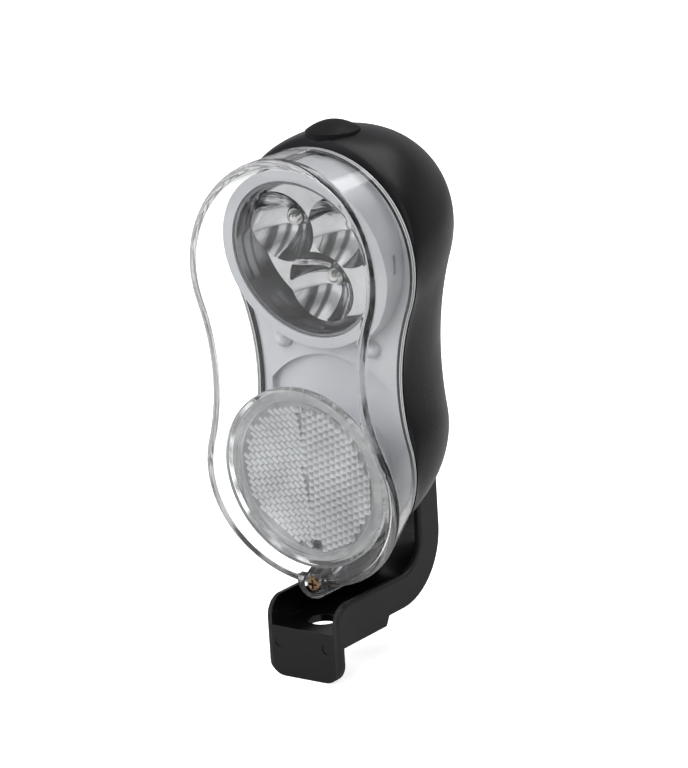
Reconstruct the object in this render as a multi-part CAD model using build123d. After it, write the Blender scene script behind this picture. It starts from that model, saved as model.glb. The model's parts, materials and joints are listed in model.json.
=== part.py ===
"""Battery bicycle headlight with a clear peanut-shaped cap, a reflector disc and a channel bracket.

Units are millimetres. +Z is up, the lamp shines towards -Y, and +X is to the right of someone who
looks at the front. The origin is the centre of the bracket's bolt hole, on the seat face below it.
The lamp's own pieces are drawn about the centre of the lower lobe and then moved to their place.
"""
import math
import os

from build123d import *

os.makedirs("parts", exist_ok=True)

# Bracket: a U-channel with a floor, a bend and an upright arm
BRACKET_WIDTH = 19.0
BRACKET_SIDE = 1.5
BRACKET_FLOOR = 1.6
CHANNEL_HEIGHT = 7.6
FLAP_FRONT = 7.7
FLAP_DROP = 9.6
FLAP_THICK = 1.8
FLAP_CORNER = 4.3
SIDE_CORNER = 4.5
SKIRT_DROP = 1.7
SKIRT_END = 11.0
SKIRT_SLOPE = 1.0
BEND_Y = 17.0
BEND_RADIUS = 15.0
BOLT_HOLE_RADIUS = 3.3
EDGE_ROUND = 0.8
EJECTOR_RADIUS = 1.3
EJECTOR_DEPTH = 0.15
EJECTOR_SPREAD = 6.2
EJECTOR_DROP = 1.8

# Hinge between the arm and the lamp
PIVOT_RISE = 1.3
PIVOT_BOLT_RADIUS = 2.0
HINGE_RUNNING = 0.05
WEB_STOP = 5.0
LUG_RADIUS = 3.6
LUG_SIDE_CLEAR = 0.1
WASHER_RADIUS = 4.0
WASHER_THICK = 0.6
BOLT_HEAD_RADIUS = 3.6
BOLT_HEAD_HEIGHT = 2.2
BOLT_HEAD_ROUND = 1.3
BOLT_SOCKET_RADIUS = 1.4
BOLT_SOCKET_DEPTH = 1.3
NUT_FLATS = 7.0
NUT_HEIGHT = 2.4
BOLT_TIP = 0.3
HINGE_POCKET_CLEAR = 0.6
HINGE_POCKET_REACH = 5.4

# Place of the lamp: its front face ahead of the bolt hole, and its foot above the seat
LAMP_FRONT = 8.5
LAMP_LIFT = 4.95

# Peanut outline of the cap at the front, and how it changes towards its rear edge
FRONT_UP_RADIUS = 24.0
FRONT_UP_Z = 47.3
FRONT_LOW_RADIUS = 25.8
FRONT_LOW_Z = -1.95
FRONT_WAIST = 39.8
SEAM_UP_FLARE = 0.3
SEAM_UP_DROP = 0.4
SEAM_LOW_TAPER = 4.2
SEAM_LOW_LIFT = 4.55
SEAM_WAIST_FLARE = 7.2
SEAM_Y = 15.6
FACE_BOW_RADIUS = 267.0
FACE_BOW_Z = 34.7
FACE_BOW_LEAD = 0.4
FACE_TOLERANCE = 0.1
CAP_WALL = 1.8
CAP_FACE = 1.5
CAP_EDGE_ROUND = 1.8
CAP_INNER_ROUND = 0.3

# Ear at the bottom of the cap, its screw and the boss behind it
EAR_RADIUS = 4.0
EAR_RISE = 6.25
EAR_FRONT = 5.6
SCREW_BELOW_EAR = 0.8
SCREW_SEAT = 7.0
SCREW_HEAD_RADIUS = 1.8
SCREW_HEAD_HEIGHT = 1.5
SCREW_HEAD_ROUND = 0.75
SCREW_RADIUS = 1.0
SCREW_REACH = 7.0
SCREW_CROSS_WIDTH = 0.55
SCREW_CROSS_REACH = 1.1
SCREW_CROSS_DEPTH = 0.8
SCREW_CLEAR = 0.25
HEAD_CLEAR = 0.3
INSERT_RADIUS = 1.7
INSERT_LENGTH = 5.0
INSERT_FIT = 0.02
BOSS_LENGTH = 8.0
BOSS_WALL = 2.3

# Silver bezel plate in the housing's rebate, with its lamp hood, dish and pips
PLATE_THICK = 1.2
PLATE_INSET = 1.1
PLATE_REBATE_CLEAR = 0.1
DISH_INSET = 4.5
HOOD_INSET = 3.9
HOOD_WALL = 2.4
HOOD_RISE = 1.1
HOOD_Y = 9.4
HOOD_TILT = 11.3
DISH_EDGE = 1.9
DISH_RISE = 3.9
DISH_DEPTH = 1.5
PIP_RADIUS = 2.1
PIP_SPREAD = 10.7
PIP_Z = 28.8
SLOT_MARK_LENGTH = 4.0
SLOT_MARK_WIDTH = 0.8
SLOT_MARK_DEPTH = 0.5
PEDESTAL_INSET = 7.3
PEDESTAL_WALL = 1.6

# Gasket between the plate and the housing
GASKET_THICK = 0.5
GASKET_INSET = 0.5
GASKET_WIDTH = 2.0

# Chrome reflector with three cups, and what stands behind it
REFLECTOR_GAP = 0.1
REFLECTOR_WALL = 0.7
REFLECTOR_STEP = 0.35
REFLECTOR_STEP_DEPTH = 2.6
REFLECTOR_RECESS = 0.5
CUP_PLANE = 5.0
CUP_RADIUS = 8.1
CUP_DEPTH = 5.8
CUP_CIRCLE = 8.8
CUP_WALL = 0.8
CUP_RISE = 0.3
CUP_FLOOR = 1.0
CUP_COUNT = 3
LED_RADIUS = 1.9
LED_LENGTH = 1.4
LED_BASE_RADIUS = 2.4
LED_BASE = 0.5
LED_GAP = 0.25
BOARD_RADIUS = 11.7
BOARD_THICK = 1.0
BOARD_GAP = 0.1

# Reflector disc in front of the lower lobe: its back has slanted ridges on one half, studs on the other
RETRO_INSET = 5.5
RETRO_Y = 5.4
RETRO_RISE = 3.55
RETRO_TILT = 5.7
RETRO_THICK = 1.8
RETRO_RIM = 1.6
RETRO_RIM_PROUD = 0.3
RETRO_RIM_ROUND = 0.27
RETRO_STEP = 1.1
RETRO_STEP_DEPTH = 0.3
RETRO_BACK_THICK = 1.0
RETRO_BACK_INSET = 0.9
PRISM_INSET = 3.1
PRISM_DEPTH = 0.65
RIDGE_PITCH = 1.5
RIDGE_SLANT = -54.0
STUD_PITCH = 2.1
STUD_SLANT = 60.0
PRISM_DIVIDE = 0.4

# Rear housing: depths of the two lobes, and how full their domes are
HOUSING_WALL = 1.6
UPPER_DEPTH = 48.5
LOWER_DEPTH = 44.4
UPPER_RISE = 5.4
LOWER_RISE = 5.6
RISE_POWER = 0.4
WAIST_FILL = 36.0
DOME_POWER = 2.2
DOME_STATION_SHARES = (0.0, 0.05, 0.15, 0.3, 0.46, 0.62, 0.76, 0.87, 0.94, 0.98)

# Push button on the roof, its guide, and the switch below it
BUTTON_Y = 22.7
BUTTON_RADIUS = 5.85
BUTTON_PROUD = 2.4
BUTTON_DOME = 2.1
BUTTON_RUNNING = 0.08
BUTTON_FLANGE = 0.9
BUTTON_FLANGE_THICK = 1.0
BUTTON_FLANGE_GAP = 0.1
BUTTON_FRONT_GAP = 0.3
BUTTON_TRAVEL = 1.0
GUIDE_WALL = 1.3
GUIDE_DEPTH = 3.0
GUIDE_SHOULDER = 1.4
NOTCH_CLEAR = 0.3
STEM_RADIUS = 2.6
SWITCH_SIDE = 6.0
SWITCH_CORNER = 0.5
SWITCH_HEIGHT = 3.4
SWITCH_DROP = 7.0
PLUNGER_RADIUS = 1.7
PLUNGER_PROUD = 1.3
PLUNGER_SINK = 1.0
PLUNGER_RUNNING = 0.05
SWITCH_BOARD_THICK = 1.2
SWITCH_BOARD_WIDTH = 15.0
SWITCH_BOARD_FRONT = 0.6

# Three AAA cells in a tray behind the reflector
CELL_RADIUS = 5.25
CELL_LENGTH = 43.5
CELL_NUB_RADIUS = 1.9
CELL_NUB = 1.0
CELL_PITCH = 10.4
CELL_Y = 30.4
CELL_SET_BACK = 2.6
CELL_COUNT = 3
CELL_EDGE = 0.4
TRAY_CELL_CLEAR = 0.1
TRAY_SIDE = 0.8
TRAY_FRONT = 0.7
TRAY_LIP = 2.0
TRAY_END = 1.2
TRAY_END_REACH = 2.6
TRAY_END_REST = 2.2
CONTACT_THICK = 0.4
CONTACT_MARGIN = 0.6
SPRING_HEIGHT = 1.8
SPRING_BASE_RADIUS = 3.4
SPRING_TIP_RADIUS = 1.7

OVERRUN = 5.0

# Sizes worked out from the ones above
lamp_z = LAMP_LIFT + FRONT_LOW_RADIUS - FRONT_LOW_Z
pivot_z = lamp_z + PIVOT_RISE
seam_up_radius = FRONT_UP_RADIUS + SEAM_UP_FLARE
seam_up_z = FRONT_UP_Z - SEAM_UP_DROP
seam_low_radius = FRONT_LOW_RADIUS - SEAM_LOW_TAPER
seam_low_z = FRONT_LOW_Z + SEAM_LOW_LIFT
seam_waist = FRONT_WAIST + SEAM_WAIST_FLARE
ear_z = FRONT_LOW_Z - FRONT_LOW_RADIUS + EAR_RISE
screw_z = ear_z - SCREW_BELOW_EAR
hood_radius = FRONT_UP_RADIUS - HOOD_INSET
hood_z = FRONT_UP_Z + HOOD_RISE
dish_radius = seam_low_radius - DISH_EDGE
dish_z = seam_low_z + DISH_RISE
retro_radius = FRONT_LOW_RADIUS - RETRO_INSET
retro_z = FRONT_LOW_Z + RETRO_RISE
pedestal_radius = retro_radius - PEDESTAL_INSET
side_x = BRACKET_WIDTH / 2
inner_x = side_x - BRACKET_SIDE
arm_back = BEND_Y + BEND_RADIUS
arm_front = arm_back - CHANNEL_HEIGHT
flap_back = FLAP_THICK - FLAP_FRONT
pivot_y = (arm_front + arm_back) / 2
ear_round = CHANNEL_HEIGHT / 2
housing_y = SEAM_Y + GASKET_THICK
dish_floor = housing_y + DISH_DEPTH
pocket_x = side_x + WASHER_THICK + NUT_HEIGHT + BOLT_TIP + HINGE_POCKET_CLEAR
lamp_pivot_y = pivot_y + LAMP_FRONT
lamp_pivot_z = PIVOT_RISE
front_peanut = (FRONT_UP_RADIUS, FRONT_UP_Z, FRONT_LOW_RADIUS, FRONT_LOW_Z, FRONT_WAIST)
seam_peanut = (seam_up_radius, seam_up_z, seam_low_radius, seam_low_z, seam_waist)
roof_z = seam_up_z + seam_up_radius
guide_z = roof_z - GUIDE_DEPTH
shoulder_z = roof_z - GUIDE_SHOULDER
flange_top = shoulder_z - BUTTON_FLANGE_GAP
flange_base = flange_top - BUTTON_FLANGE_THICK
notch_z = flange_base - BUTTON_TRAVEL - NOTCH_CLEAR
switch_top_z = roof_z - SWITCH_DROP
switch_base_z = switch_top_z - SWITCH_HEIGHT
tray_top = switch_base_z - SWITCH_BOARD_THICK
tray_bottom = tray_top - (2 * TRAY_END + 2 * CONTACT_THICK + SPRING_HEIGHT + CELL_LENGTH + CELL_NUB)
cell_floor = tray_bottom + TRAY_END + CONTACT_THICK + SPRING_HEIGHT

nodes = {}


def in_lamp(shape):
    """Move a piece from the lamp's own frame to its place over the bracket."""
    return Pos(0, -LAMP_FRONT, lamp_z) * shape


def rod_x(radius, x_low, x_high, y, z):
    """Round bar along X between two places."""
    bar = Cylinder(radius, x_high - x_low, rotation=(0, 90, 0))
    return Pos((x_low + x_high) / 2, y, z) * bar


def rod_y(radius, y_low, y_high, x, z):
    """Round bar along Y between two depths."""
    bar = Cylinder(radius, y_high - y_low, rotation=(-90, 0, 0))
    return Pos(x, (y_low + y_high) / 2, z) * bar


def rod_z(radius, z_low, z_high, x, y):
    """Round bar along Z between two heights."""
    return Pos(x, y, (z_low + z_high) / 2) * Cylinder(radius, z_high - z_low)


def block(x_low, x_high, y_low, y_high, z_low, z_high):
    """Box between two corners."""
    box = Box(x_high - x_low, y_high - y_low, z_high - z_low)
    return Pos((x_low + x_high) / 2, (y_low + y_high) / 2, (z_low + z_high) / 2) * box


def peanut_face(outline, inset, depth, lean=0.0, lean_z=0.0):
    """Face of two round lobes joined by hollow waists, upright at a depth, or leaning back."""
    r_up, z_up, r_low, z_low, r_waist = outline
    r_up = r_up - inset
    r_low = r_low - inset
    r_waist = r_waist + inset
    reach_up = r_up + r_waist
    reach_low = r_low + r_waist
    spacing = z_up - z_low
    waist_rise = (reach_low**2 - reach_up**2 + spacing**2) / (2 * spacing)
    waist_x = math.sqrt(reach_low**2 - waist_rise**2)
    waist_z = z_low + waist_rise
    low_x = r_low * waist_x / reach_low
    low_z = z_low + r_low * waist_rise / reach_low
    up_x = r_up * waist_x / reach_up
    up_z = z_up - r_up * (spacing - waist_rise) / reach_up
    low_turn = math.atan2(low_z - z_low, low_x) / 2 - math.pi / 4
    up_turn = math.atan2(up_z - z_up, up_x) / 2 + math.pi / 4

    def at(x, z):
        return Vector(x, 0, z - lean_z)

    def on_lobe(radius, centre_z, turn, side):
        return at(side * radius * math.cos(turn), centre_z + radius * math.sin(turn))

    bottom = at(0, z_low - r_low)
    top = at(0, z_up + r_up)
    edges = [
        ThreePointArc(bottom, on_lobe(r_low, z_low, low_turn, 1), at(low_x, low_z)),
        ThreePointArc(at(low_x, low_z), at(waist_x - r_waist, waist_z), at(up_x, up_z)),
        ThreePointArc(at(up_x, up_z), on_lobe(r_up, z_up, up_turn, 1), top),
        ThreePointArc(top, on_lobe(r_up, z_up, up_turn, -1), at(-up_x, up_z)),
        ThreePointArc(at(-up_x, up_z), at(r_waist - waist_x, waist_z), at(-low_x, low_z)),
        ThreePointArc(at(-low_x, low_z), on_lobe(r_low, z_low, low_turn, -1), bottom),
    ]
    face = Face(Wire(edges))
    return Pos(0, depth, lean_z) * Rot(X=lean) * face


def peanut_slab(outline, inset, y_low, y_high):
    """Flat slab with a peanut outline."""
    face = peanut_face(outline, inset, y_low)
    return extrude(face, amount=y_high - y_low, dir=(0, 1, 0))


def side_profile(points_and_arcs):
    """Face in the YZ plane from straight runs and three-point arcs."""
    edges = []
    for item in points_and_arcs:
        corners = [Vector(0, y, z) for y, z in item]
        if len(corners) == 2:
            edges.append(Line(*corners))
        else:
            edges.append(ThreePointArc(*corners))
    return Face(Wire(edges))


def arc_mid(centre, radius, degrees):
    """Point on a circle in the YZ plane."""
    turn = math.radians(degrees)
    return (centre[0] + radius * math.cos(turn), centre[1] + radius * math.sin(turn))


def bracket_outside():
    """Side view of the bracket's outside: flap, floor, bend and the arm's round end."""
    bend = (BEND_Y, BEND_RADIUS)
    corner = (SIDE_CORNER - FLAP_FRONT, CHANNEL_HEIGHT - SIDE_CORNER)
    skirt_back = SKIRT_END - SKIRT_SLOPE
    corner_mid = arc_mid(corner, SIDE_CORNER, 135)
    inner_mid = arc_mid(bend, BEND_RADIUS - CHANNEL_HEIGHT, -45)
    end_mid = arc_mid((pivot_y, pivot_z), ear_round, 90)
    return [
        ((-FLAP_FRONT, -FLAP_DROP), (-FLAP_FRONT, corner[1])),
        ((-FLAP_FRONT, corner[1]), corner_mid, (corner[0], CHANNEL_HEIGHT)),
        ((corner[0], CHANNEL_HEIGHT), (BEND_Y, CHANNEL_HEIGHT)),
        ((BEND_Y, CHANNEL_HEIGHT), inner_mid, (arm_front, BEND_RADIUS)),
        ((arm_front, BEND_RADIUS), (arm_front, pivot_z)),
        ((arm_front, pivot_z), end_mid, (arm_back, pivot_z)),
        ((arm_back, pivot_z), (arm_back, BEND_RADIUS)),
        ((arm_back, BEND_RADIUS), arc_mid(bend, BEND_RADIUS, -45), (BEND_Y, 0)),
        ((BEND_Y, 0), (SKIRT_END, 0)),
        ((SKIRT_END, 0), (skirt_back, -SKIRT_DROP)),
        ((skirt_back, -SKIRT_DROP), (flap_back, -SKIRT_DROP)),
        ((flap_back, -SKIRT_DROP), (flap_back, -FLAP_DROP)),
        ((flap_back, -FLAP_DROP), (-FLAP_FRONT, -FLAP_DROP)),
    ]


def bracket_inside():
    """Side view of the channel that is cut between the bracket's two walls."""
    web_inner = BEND_RADIUS - BRACKET_FLOOR
    web_top = pivot_z - WEB_STOP
    web_y = arm_back - BRACKET_FLOOR
    far_back = arm_back + OVERRUN
    far_top = pivot_z + ear_round + OVERRUN
    open_front = -FLAP_FRONT - OVERRUN
    bend_mid = arc_mid((BEND_Y, BEND_RADIUS), web_inner, -45)
    return [
        ((open_front, BRACKET_FLOOR), (BEND_Y, BRACKET_FLOOR)),
        ((BEND_Y, BRACKET_FLOOR), bend_mid, (web_y, BEND_RADIUS)),
        ((web_y, BEND_RADIUS), (web_y, web_top)),
        ((web_y, web_top), (far_back, web_top)),
        ((far_back, web_top), (far_back, far_top)),
        ((far_back, far_top), (open_front, far_top)),
        ((open_front, far_top), (open_front, BRACKET_FLOOR)),
    ]


def make_bracket():
    """U-channel bracket: bolt floor with a hanging flap, large bend, and arm that ends in two ears."""
    body = extrude(side_profile(bracket_outside()), amount=BRACKET_WIDTH, dir=(1, 0, 0))
    body = Pos(-side_x, 0, 0) * body
    body = fillet(bracket_long_edges(body), EDGE_ROUND)
    channel = extrude(side_profile(bracket_inside()), amount=2 * inner_x, dir=(1, 0, 0))
    body -= Pos(-inner_x, 0, 0) * channel
    body -= block(-inner_x, inner_x, flap_back, BEND_Y, -SKIRT_DROP - OVERRUN, 0)
    body -= rod_z(BOLT_HOLE_RADIUS, -OVERRUN, OVERRUN, 0, 0)
    hinge_radius = PIVOT_BOLT_RADIUS + HINGE_RUNNING
    body -= rod_x(hinge_radius, -side_x - OVERRUN, side_x + OVERRUN, pivot_y, pivot_z)
    mark_front = -FLAP_FRONT - OVERRUN
    mark_back = -FLAP_FRONT + EJECTOR_DEPTH
    for side in (-1, 1):
        body -= rod_y(EJECTOR_RADIUS, mark_front, mark_back, side * EJECTOR_SPREAD, -EJECTOR_DROP)
    return body


def bracket_long_edges(body):
    """Outer corner edges of the solid channel: round the back and flap, and the flap's two corners."""
    chosen = []
    for edge in body.edges():
        middle = edge.position_at(0.5)
        on_side = abs(abs(middle.X) - side_x) < EDGE_ROUND / 2
        behind = middle.Y > BEND_Y and edge.length > BRACKET_WIDTH / 2
        if on_side and behind and middle.Y - BEND_Y > BEND_RADIUS - CHANNEL_HEIGHT + EDGE_ROUND:
            chosen.append(edge)
    return chosen


def cut_flap_corners(body):
    """Round the two lower corners of the hanging flap."""
    for side in (-1, 1):
        x_in = side * (side_x - FLAP_CORNER)
        x_out = side * (side_x + OVERRUN)
        z_in = FLAP_CORNER - FLAP_DROP
        corner = block(
            min(x_in, x_out), max(x_in, x_out),
            -FLAP_FRONT - OVERRUN, FLAP_THICK - FLAP_FRONT + OVERRUN,
            -FLAP_DROP - OVERRUN, z_in,
        )
        keep = rod_y(FLAP_CORNER, -FLAP_FRONT - 2 * OVERRUN, FLAP_THICK + OVERRUN, x_in, z_in)
        body -= corner - keep
    return body


def make_pivot_pieces():
    """Bolt, nut and the two washers of the hinge."""
    washer_out = side_x + WASHER_THICK
    head_out = washer_out + BOLT_HEAD_HEIGHT
    tip = washer_out + NUT_HEIGHT + BOLT_TIP
    bolt = rod_x(PIVOT_BOLT_RADIUS, -tip, washer_out, pivot_y, pivot_z)
    head = rod_x(BOLT_HEAD_RADIUS, washer_out, head_out, pivot_y, pivot_z)
    head = fillet(head.edges().sort_by(Axis.X)[-1], BOLT_HEAD_ROUND)
    bolt += head
    socket = extrude(RegularPolygon(BOLT_SOCKET_RADIUS, 6), amount=BOLT_SOCKET_DEPTH)
    bolt -= Pos(head_out - BOLT_SOCKET_DEPTH, pivot_y, pivot_z) * Rot(Y=90) * socket
    nut = extrude(RegularPolygon(NUT_FLATS / 2, 6, major_radius=False), amount=NUT_HEIGHT)
    nut = Pos(-washer_out - NUT_HEIGHT, pivot_y, pivot_z) * Rot(Y=90) * nut
    hole = PIVOT_BOLT_RADIUS + HINGE_RUNNING
    nut -= rod_x(hole, -tip, -side_x, pivot_y, pivot_z)
    washers = []
    for side in (-1, 1):
        ends = sorted((side * side_x, side * washer_out))
        washer = rod_x(WASHER_RADIUS, ends[0], ends[1], pivot_y, pivot_z)
        washers.append(washer - rod_x(hole, ends[0] - OVERRUN, ends[1] + OVERRUN, pivot_y, pivot_z))
    return bolt, nut, Compound(children=washers)


def face_cylinder(offset):
    """Large round bar whose front gives the cap its bowed face."""
    radius = FACE_BOW_RADIUS - offset
    bar = Cylinder(radius, 2 * (seam_up_radius + OVERRUN), rotation=(0, 90, 0))
    return Pos(0, FACE_BOW_RADIUS, FACE_BOW_Z) * bar


def cap_loft(inset):
    """Body of the cap, from ahead of its bowed face to the seam."""
    front = peanut_face(front_peanut, inset, -FACE_BOW_LEAD)
    seam = peanut_face(seam_peanut, inset, SEAM_Y)
    return loft([front, seam], ruled=True)


def make_front_cap():
    """Clear cap: bowed face, drafted wall, rounded front edge and a screw ear at the bottom."""
    outer = cap_loft(0) & face_cylinder(0)
    outer = fillet(front_edges(outer, 0), CAP_EDGE_ROUND)
    cavity = cap_loft(CAP_WALL) & face_cylinder(CAP_FACE)
    cavity = fillet(front_edges(cavity, CAP_FACE), CAP_INNER_ROUND)
    ear = rod_y(EAR_RADIUS, EAR_FRONT, SEAM_Y, 0, ear_z)
    cap = outer + ear - cavity
    cap -= rod_y(SCREW_HEAD_RADIUS + HEAD_CLEAR, EAR_FRONT - OVERRUN, SCREW_SEAT, 0, screw_z)
    cap -= rod_y(SCREW_RADIUS + SCREW_CLEAR, SCREW_SEAT - CAP_WALL, SEAM_Y + OVERRUN, 0, screw_z)
    return cap


def front_edges(body, offset):
    """Edges of the cap's outside or cavity that lie on its bowed face."""
    chosen = []
    for edge in body.edges():
        middle = edge.position_at(0.5)
        reach = math.hypot(middle.Y - FACE_BOW_RADIUS, middle.Z - FACE_BOW_Z)
        if abs(reach + offset - FACE_BOW_RADIUS) < FACE_TOLERANCE:
            chosen.append(edge)
    return chosen


def tilted(shape, tilt, y, z):
    """Lean a round piece forward at its top about a centre."""
    return Pos(0, y, z) * Rot(X=tilt) * shape


def make_bezel_plate():
    """Silver plate: flat face with a shallow dish, lamp hood, pips and the disc's pedestal."""
    plate = peanut_slab(seam_peanut, PLATE_INSET, housing_y, housing_y + PLATE_THICK)
    inner = DISH_INSET - PLATE_THICK
    dish = peanut_slab(seam_peanut, inner, housing_y, dish_floor + PLATE_THICK)
    plate += dish & rod_y(dish_radius + PLATE_THICK, 0, 2 * dish_floor, 0, dish_z)
    sunken = peanut_slab(seam_peanut, DISH_INSET, SEAM_Y, dish_floor)
    plate -= sunken & rod_y(dish_radius, 0, dish_floor, 0, dish_z)
    for side in (-1, 1):
        plate += Pos(side * PIP_SPREAD, housing_y, PIP_Z) * Sphere(PIP_RADIUS)
    ahead = rod_y(2 * hood_radius, -2 * hood_radius, 0, 0, 0)
    hood = rod_y(hood_radius, 0, housing_y + PLATE_THICK, 0, hood_z)
    plate += hood - tilted(ahead, HOOD_TILT, HOOD_Y, hood_z)
    plate += make_pedestal()
    plate -= rod_y(hood_radius - HOOD_WALL, 0, 2 * dish_floor, 0, hood_z)
    mark_y = (HOOD_Y + housing_y) / 2
    plate -= block(
        hood_radius - SLOT_MARK_DEPTH, hood_radius + SLOT_MARK_DEPTH,
        mark_y - SLOT_MARK_WIDTH / 2, mark_y + SLOT_MARK_WIDTH / 2,
        hood_z - SLOT_MARK_LENGTH / 2, hood_z + SLOT_MARK_LENGTH / 2,
    )
    notch_x = BUTTON_RADIUS + BUTTON_FLANGE + GUIDE_WALL + NOTCH_CLEAR
    return plate - block(-notch_x, notch_x, housing_y, 2 * dish_floor, notch_z, roof_z)


def make_pedestal():
    """Short tube on the dish that carries the reflector disc at its lean."""
    tube = rod_y(pedestal_radius, 0, dish_floor, 0, retro_z)
    tube -= rod_y(pedestal_radius - PEDESTAL_WALL, -OVERRUN, dish_floor + OVERRUN, 0, retro_z)
    carried = RETRO_THICK + RETRO_BACK_THICK
    ahead = rod_y(2 * pedestal_radius, -2 * pedestal_radius, carried, 0, 0)
    return tube - tilted(ahead, RETRO_TILT, RETRO_Y, retro_z)


def make_retro_reflector():
    """Clear disc with a proud rim and a stepped ring round its prism field."""
    disc = rod_y(retro_radius, -RETRO_RIM_PROUD, RETRO_THICK, 0, 0)
    disc = fillet(disc.edges().sort_by(Axis.Y)[0], RETRO_RIM_ROUND)
    inner = retro_radius - RETRO_RIM
    disc -= rod_y(inner, -OVERRUN, 0, 0, 0)
    disc -= rod_y(inner - RETRO_STEP, -OVERRUN, RETRO_STEP_DEPTH, 0, 0)
    disc -= prism_grooves(RIDGE_PITCH, RIDGE_SLANT) & half_field(-1)
    for slant in (-STUD_SLANT, STUD_SLANT):
        disc -= prism_grooves(STUD_PITCH, slant) & half_field(1)
    return tilted(disc, RETRO_TILT, RETRO_Y, retro_z)


def half_field(side):
    """Half of the round prism field, left or right of its middle."""
    ends = sorted((side * PRISM_DIVIDE, side * retro_radius))
    half = block(ends[0], ends[1], 0, retro_radius, -retro_radius, retro_radius)
    return half & rod_y(retro_radius - PRISM_INSET, 0, retro_radius, 0, 0)


def prism_grooves(pitch, slant):
    """Row of V grooves across the disc's back, turned by a slant."""
    count = math.ceil(retro_radius / pitch)
    start = -count * pitch
    points = [(start, RETRO_THICK + OVERRUN), (start, RETRO_THICK)]
    for index in range(2 * count):
        points.append((start + (index + 1 / 2) * pitch, RETRO_THICK - PRISM_DEPTH))
        points.append((start + (index + 1) * pitch, RETRO_THICK))
    points.append((-start, RETRO_THICK + OVERRUN))
    profile = Face(Polyline(*[(x, y, 0) for x, y in points], close=True))
    rows = Pos(0, 0, -retro_radius) * extrude(profile, amount=2 * retro_radius, dir=(0, 0, 1))
    return Rot(Y=slant) * rows


def make_retro_backing():
    """Plain disc that seals the prisms from behind."""
    radius = retro_radius - RETRO_BACK_INSET
    disc = rod_y(radius, RETRO_THICK, RETRO_THICK + RETRO_BACK_THICK, 0, 0)
    return tilted(disc, RETRO_TILT, RETRO_Y, retro_z)


def make_gasket():
    """Flat rubber ring that the cap presses onto the housing's rim and the plate's edge."""
    ring = peanut_slab(seam_peanut, GASKET_INSET, SEAM_Y, housing_y)
    return ring - peanut_slab(seam_peanut, GASKET_INSET + GASKET_WIDTH, SEAM_Y, housing_y)


def cup_centres():
    """Centres of the cups across the hood's axis: two above and one below."""
    places = []
    for index in range(CUP_COUNT):
        turn = math.radians(-90 + index * 360 / CUP_COUNT)
        places.append((CUP_CIRCLE * math.cos(turn), CUP_CIRCLE * math.sin(turn) + CUP_RISE))
    return places


def paraboloid(radius, depth):
    """Solid bowl with its apex at the origin, opening towards -Y."""
    apex = Vector(0, 0, 0)
    lip = Vector(radius, -depth, 0)
    curve = Bezier(apex, Vector(radius / 2, 0, 0), lip)
    profile = Face(Wire([curve, Line(lip, Vector(0, -depth, 0)), Line(Vector(0, -depth, 0), apex)]))
    return revolve(profile, axis=Axis.Y)


def barrel(radius):
    """Round bar along the hood's bore, seen from the leaning frame of the cups."""
    return Rot(X=-HOOD_TILT) * rod_y(radius, -hood_radius, hood_radius + OVERRUN, 0, 0)


def across(y_low, y_high):
    """Wide slab between two depths behind the hood's rim."""
    wide = 2 * hood_radius
    return block(-wide, wide, y_low, y_high, -wide, wide)


def make_led_reflector():
    """Chrome reflector: stepped barrel, floor, and three deep cups that open out of it."""
    barrel_radius = hood_radius - HOOD_WALL - REFLECTOR_GAP
    bore = barrel_radius - REFLECTOR_WALL
    body = barrel(barrel_radius) & across(REFLECTOR_RECESS, CUP_PLANE + CUP_FLOOR)
    body -= barrel(bore) & across(0, REFLECTOR_STEP_DEPTH)
    body -= barrel(bore - REFLECTOR_STEP) & across(0, CUP_PLANE)
    apex = CUP_PLANE + CUP_DEPTH
    for x, z in cup_centres():
        outer = Pos(x, apex + CUP_WALL, z) * paraboloid(CUP_RADIUS + CUP_WALL, CUP_DEPTH + CUP_WALL)
        body += outer - across(0, CUP_PLANE)
    for x, z in cup_centres():
        body -= Pos(x, apex, z) * paraboloid(CUP_RADIUS, CUP_DEPTH)
        body -= rod_y(LED_RADIUS + LED_GAP, CUP_PLANE, apex + CUP_DEPTH, x, z)
    return tilted(body & barrel(barrel_radius), HOOD_TILT, HOOD_Y, hood_z)


def make_led(x, z):
    """Round LED: base, body and a domed tip that reaches into its cup."""
    base_back = CUP_PLANE + CUP_DEPTH + CUP_WALL + LED_BASE + BOARD_GAP
    base = rod_y(LED_BASE_RADIUS, base_back - LED_BASE, base_back, x, z)
    tip = base_back - LED_BASE - LED_LENGTH
    body = rod_y(LED_RADIUS, tip, base_back - LED_BASE, x, z)
    led = base + body + Pos(x, tip, z) * Sphere(LED_RADIUS)
    return tilted(led, HOOD_TILT, HOOD_Y, hood_z)


def make_led_board():
    """Round circuit board behind the cups, cut flat below the switch."""
    front = CUP_PLANE + CUP_DEPTH + CUP_WALL + LED_BASE + BOARD_GAP
    board = rod_y(BOARD_RADIUS, front, front + BOARD_THICK, 0, 0)
    board = tilted(board, HOOD_TILT, HOOD_Y, hood_z)
    flat_z = tray_top - BOARD_GAP
    return board - block(-seam_up_radius, seam_up_radius, 0, UPPER_DEPTH, flat_z, flat_z + roof_z)


def dome_share(share):
    """Width of the dome at a share of its depth, as a share of the seam's."""
    return (1 - share**DOME_POWER) ** (1 / DOME_POWER)


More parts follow.
